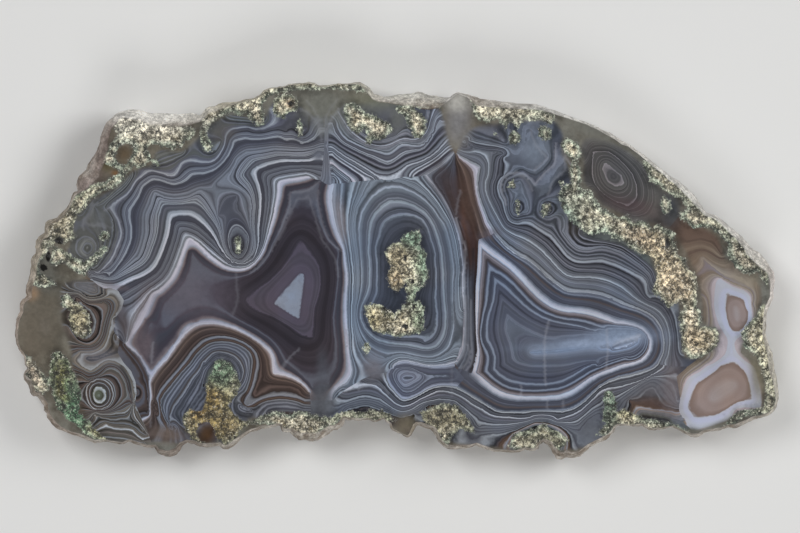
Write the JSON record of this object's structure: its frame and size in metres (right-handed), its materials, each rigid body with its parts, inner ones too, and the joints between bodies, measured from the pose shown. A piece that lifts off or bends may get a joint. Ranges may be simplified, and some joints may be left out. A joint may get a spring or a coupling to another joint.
{
  "type": "agate slice",
  "caption": "Polished slice of grey-violet banded agate with a rough natural rim and green mossy inclusions, lying flat on its sawn back.",
  "frame": {"origin": "middle of the slice's footprint, on its sawn back face", "axes": "+X along the slice's longest extent, +Z out of the polished face"},
  "size_m": [0.1304, 0.064, 0.009],
  "materials": {
    "agate": "polished face, fine sawn back, rough natural rim"
  },
  "bodies": {
    "root": {"agate_slice": "agate"}
  },
  "joints": []
}
